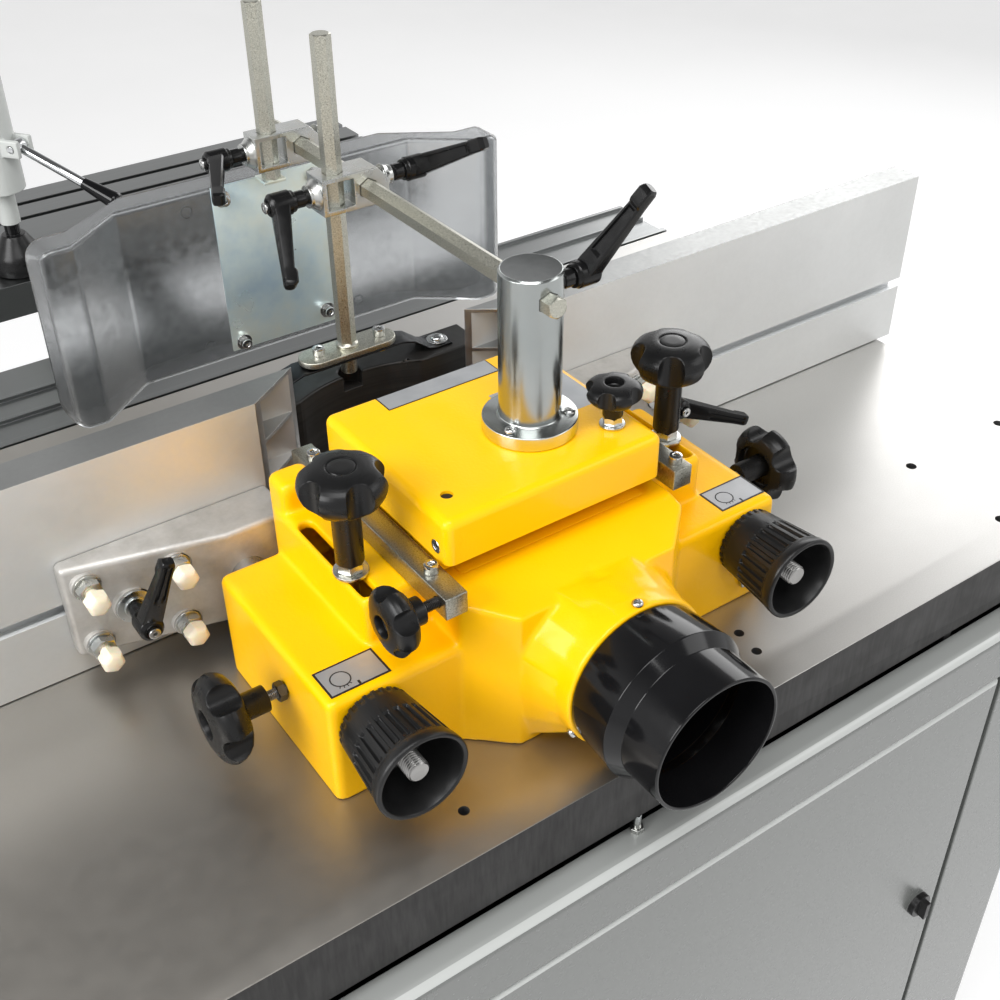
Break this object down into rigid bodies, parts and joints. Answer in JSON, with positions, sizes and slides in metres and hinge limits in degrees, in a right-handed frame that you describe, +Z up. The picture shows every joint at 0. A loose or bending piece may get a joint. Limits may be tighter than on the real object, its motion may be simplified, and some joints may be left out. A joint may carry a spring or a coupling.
{
  "type": "spindle moulder",
  "caption": "Floor-standing spindle moulder: cast table on a sheet cabinet, yellow dust hood with split fences, pressure shoe, clear hand guard and a front sliding carriage.",
  "frame": {"origin": "on the floor under the centre of the bounding box", "axes": "+Z up, X along the fences, +Y to the rear where the dust outlet points, operator stands at -Y"},
  "size_m": [1.236, 1.352, 1.3],
  "materials": {
    "cabinet_paint": "light grey powder coat",
    "door_paint": "light grey powder coat",
    "ground_iron": "ground top",
    "dark_iron": "cast and machined",
    "zinc": "bright zinc plated",
    "steel": "turned and ground",
    "alu": "extruded and anodised",
    "cast_alu": "cast and tumbled",
    "yellow": "yellow orange-peel powder coat",
    "black_plastic": "fine grain",
    "gloss_black": "moulded gloss",
    "nylon": "natural nylon",
    "clear": "clear polycarbonate",
    "chrome": "polished",
    "shoe": "dark laminate",
    "motor_paint": "grey paint",
    "rubber": "matt",
    "green": "moulded",
    "red": "moulded",
    "panel": "fine grain"
  },
  "bodies": {
    "base": {"cabinet_shell": "cabinet_paint", "cabinet_feet": "zinc", "machine_table": "ground_iron", "levelling_bolts": "zinc", "insert_rings": "ground_iron", "guide_rail": "alu", "control_panel": "panel", "slide_way": "dark_iron"},
    "door": {"rear_door": "door_paint"},
    "start": {"start_button": "green"},
    "stop": {"stop_button": "red"},
    "quill": {"quill_housing": "dark_iron", "spindle_bearings": "steel", "drive_motor": "motor_paint", "drive_belt": "rubber"},
    "spindle": {"spindle_shaft": "steel", "arbor_rings": "steel", "spindle_pulley": "alu"},
    "motor_rotor": {"motor_pulley": "alu"},
    "screw": {"lift_screw": "steel"},
    "wheel": {"handwheel": "gloss_black"},
    "wheel_grip": {"handwheel_grip": "black_plastic"},
    "hood": {"hood_casting": "yellow", "hood_rails": "steel", "hood_screws": "zinc", "hose_adapter": "gloss_black"},
    "table_knob_l": {"table_knob_left": "black_plastic"},
    "table_knob_r": {"table_knob_right": "black_plastic"},
    "side_knob_l": {"side_knob_left": "black_plastic"},
    "side_knob_r": {"side_knob_right": "black_plastic"},
    "lid": {"hood_lid": "yellow", "guard_column": "zinc"},
    "lid_knob": {"lid_knob": "black_plastic"},
    "rail_knob": {"rail_knob": "black_plastic"},
    "column_lever": {"column_lever": "black_plastic"},
    "arm": {"guard_arm": "zinc"},
    "shoe_clamp": {"shoe_clamp": "zinc"},
    "arm_lever": {"arm_lever": "black_plastic"},
    "shoe_lever": {"shoe_lever": "black_plastic"},
    "shoe": {"shoe_bar": "zinc", "pressure_shoe": "shoe"},
    "guard_clamp": {"guard_clamp": "zinc"},
    "guard_lever": {"guard_lever": "black_plastic"},
    "guard": {"guard_bar": "zinc", "clear_guard": "clear"},
    "holder_l": {"fence_holder_left": "cast_alu", "holder_bolts_left": "nylon"},
    "holder_r": {"fence_holder_right": "cast_alu", "holder_bolts_right": "nylon"},
    "cup_l": {"fine_adjuster_left": "black_plastic"},
    "cup_r": {"fine_adjuster_right": "black_plastic"},
    "fence_l": {"fence_left": "alu"},
    "fence_r": {"fence_right": "alu"},
    "fence_lever_l": {"fence_lever_left": "black_plastic"},
    "fence_lever_r": {"fence_lever_right": "black_plastic"},
    "carriage": {"sliding_carriage": "alu", "hold_down_post": "cabinet_paint"},
    "hold_lever": {"hold_down_lever": "chrome"},
    "hold_foot": {"hold_down_foot": "rubber"}
  },
  "joints": [
    {"name": "door_hinge", "type": "hinge", "parent": "base", "child": "door", "pos_m": [0.4215, 0.6405, 0.45], "axis": [0, 0, 1], "range_deg": [-105, 0]},
    {"name": "start_press", "type": "slide", "parent": "base", "child": "start", "axis": [0, 1, 0], "range_m": [0, 0.004], "stiffness_N_per_m": 500, "springref_m": -0.002},
    {"name": "stop_press", "type": "slide", "parent": "base", "child": "stop", "axis": [0, 1, 0], "range_m": [0, 0.006], "stiffness_N_per_m": 500, "springref_m": -0.002},
    {"name": "quill_lift", "type": "slide", "parent": "base", "child": "quill", "axis": [0, 0, 1], "range_m": [-0.09, 0.02]},
    {"name": "spindle_spin", "type": "hinge", "parent": "quill", "child": "spindle", "pos_m": [0, 0.3, 0.88], "axis": [0, 0, 1], "continuous": true},
    {"name": "motor_spin", "type": "hinge", "parent": "quill", "child": "motor_rotor", "pos_m": [0.235, 0.3, 0.5], "axis": [0, 0, 1], "continuous": true},
    {"name": "screw_turn", "type": "hinge", "parent": "base", "child": "screw", "pos_m": [-0.09, 0.356, 0.58], "axis": [0, 0, 1], "range_deg": [-6500, 1460]},
    {"name": "wheel_turn", "type": "hinge", "parent": "base", "child": "wheel", "pos_m": [-0.09, -0.072, 0.41], "axis": [0, 1, 0], "range_deg": [-6500, 1460]},
    {"name": "grip_spin", "type": "hinge", "parent": "wheel", "child": "wheel_grip", "pos_m": [-0.09, -0.12, 0.49], "axis": [0, 1, 0], "continuous": true},
    {"name": "hood_slide", "type": "slide", "parent": "base", "child": "hood", "axis": [0, 1, 0], "range_m": [-0.023, 0.05]},
    {"name": "table_knob_l_turn", "type": "hinge", "parent": "base", "child": "table_knob_l", "pos_m": [0.1425, 0.4505, 1.08], "axis": [0, 0, 1], "range_deg": [0, 300]},
    {"name": "table_knob_r_turn", "type": "hinge", "parent": "base", "child": "table_knob_r", "pos_m": [-0.1425, 0.4505, 1.08], "axis": [0, 0, 1], "range_deg": [0, 300]},
    {"name": "side_knob_l_turn", "type": "hinge", "parent": "hood", "child": "side_knob_l", "pos_m": [0.25, 0.4505, 0.935], "axis": [1, 0, 0], "range_deg": [0, 300]},
    {"name": "side_knob_r_turn", "type": "hinge", "parent": "hood", "child": "side_knob_r", "pos_m": [-0.264, 0.444, 0.935], "axis": [-1, 0, 0], "range_deg": [0, 300]},
    {"name": "lid_slide", "type": "slide", "parent": "hood", "child": "lid", "axis": [0, 1, 0], "range_m": [-0.06, 0.015]},
    {"name": "lid_knob_turn", "type": "hinge", "parent": "lid", "child": "lid_knob", "pos_m": [-0.0645, 0.477, 1.09], "axis": [0, 0, 1], "range_deg": [0, 300]},
    {"name": "rail_knob_turn", "type": "hinge", "parent": "hood", "child": "rail_knob", "pos_m": [0.14, 0.5215, 1.0225], "axis": [1, 0, 0], "range_deg": [0, 300]},
    {"name": "column_lever_turn", "type": "hinge", "parent": "lid", "child": "column_lever", "pos_m": [-0.05, 0.4435, 1.179], "axis": [-1, 0, 0], "range_deg": [-60, 60]},
    {"name": "arm_slide", "type": "slide", "parent": "lid", "child": "arm", "axis": [0, -1, 0], "range_m": [-0.015, 0.045]},
    {"name": "shoe_clamp_slide", "type": "slide", "parent": "arm", "child": "shoe_clamp", "axis": [0, -1, 0], "range_m": [-0.015, 0.05]},
    {"name": "arm_lever_turn", "type": "hinge", "parent": "shoe_clamp", "child": "arm_lever", "pos_m": [-0.05, 0.2155, 1.1805], "axis": [-1, 0, 0], "range_deg": [-40, 40]},
    {"name": "shoe_lever_turn", "type": "hinge", "parent": "shoe_clamp", "child": "shoe_lever", "pos_m": [0.05, 0.2155, 1.179], "axis": [1, 0, 0], "range_deg": [-60, 60]},
    {"name": "shoe_height", "type": "slide", "parent": "shoe_clamp", "child": "shoe", "axis": [0, 0, 1], "range_m": [-0.054, 0.06]},
    {"name": "guard_clamp_slide", "type": "slide", "parent": "arm", "child": "guard_clamp", "axis": [0, -1, 0], "range_m": [-0.03, 0.03]},
    {"name": "guard_lever_turn", "type": "hinge", "parent": "guard_clamp", "child": "guard_lever", "pos_m": [0.05, 0.1065, 1.179], "axis": [1, 0, 0], "range_deg": [-45, 45]},
    {"name": "guard_height", "type": "slide", "parent": "guard_clamp", "child": "guard", "axis": [0, 0, 1], "range_m": [-0.1, 0.004]},
    {"name": "fence_l_depth", "type": "slide", "parent": "hood", "child": "holder_l", "axis": [0, 1, 0], "range_m": [-0.01, 0.006]},
    {"name": "fence_r_depth", "type": "slide", "parent": "hood", "child": "holder_r", "axis": [0, 1, 0], "range_m": [-0.01, 0.006]},
    {"name": "cup_l_turn", "type": "hinge", "parent": "hood", "child": "cup_l", "pos_m": [0.171, 0.55, 0.945], "axis": [0, 1, 0], "range_deg": [-1100, 1820]},
    {"name": "cup_r_turn", "type": "hinge", "parent": "hood", "child": "cup_r", "pos_m": [-0.171, 0.55, 0.945], "axis": [0, 1, 0], "range_deg": [-1100, 1820]},
    {"name": "fence_l_slide", "type": "slide", "parent": "holder_l", "child": "fence_l", "axis": [-1, 0, 0], "range_m": [-0.06, 0.04]},
    {"name": "fence_r_slide", "type": "slide", "parent": "holder_r", "child": "fence_r", "axis": [1, 0, 0], "range_m": [-0.06, 0.04]},
    {"name": "fence_lever_l_turn", "type": "hinge", "parent": "holder_l", "child": "fence_lever_l", "pos_m": [0.258, 0.33, 0.945], "axis": [0, 1, 0], "range_deg": [-20, 20]},
    {"name": "fence_lever_r_turn", "type": "hinge", "parent": "holder_r", "child": "fence_lever_r", "pos_m": [-0.258, 0.33, 0.945], "axis": [0, 1, 0], "range_deg": [-20, 20]},
    {"name": "carriage_slide", "type": "slide", "parent": "base", "child": "carriage", "axis": [1, 0, 0], "range_m": [-0.15, 0.15]},
    {"name": "hold_lever_turn", "type": "hinge", "parent": "carriage", "child": "hold_lever", "pos_m": [0.08614, -0.41009, 1.038], "axis": [0.803, 0.596, 0], "range_deg": [0, 75]},
    {"name": "hold_foot_lift", "type": "slide", "parent": "carriage", "child": "hold_foot", "axis": [0, 0, 1], "range_m": [0, 0.0152]}
  ],
  "couplings": [
    {"joint": "motor_spin", "follows": "spindle_spin", "ratio": 0.63333},
    {"joint": "wheel_turn", "follows": "quill_lift", "rad_per_m": 1256.6},
    {"joint": "screw_turn", "follows": "quill_lift", "rad_per_m": 1256.6},
    {"joint": "cup_l_turn", "follows": "fence_l_depth", "rad_per_m": -3141.6},
    {"joint": "cup_r_turn", "follows": "fence_r_depth", "rad_per_m": -3141.6},
    {"joint": "hold_foot_lift", "follows": "hold_lever_turn", "m_per_rad": 0.01146}
  ]
}
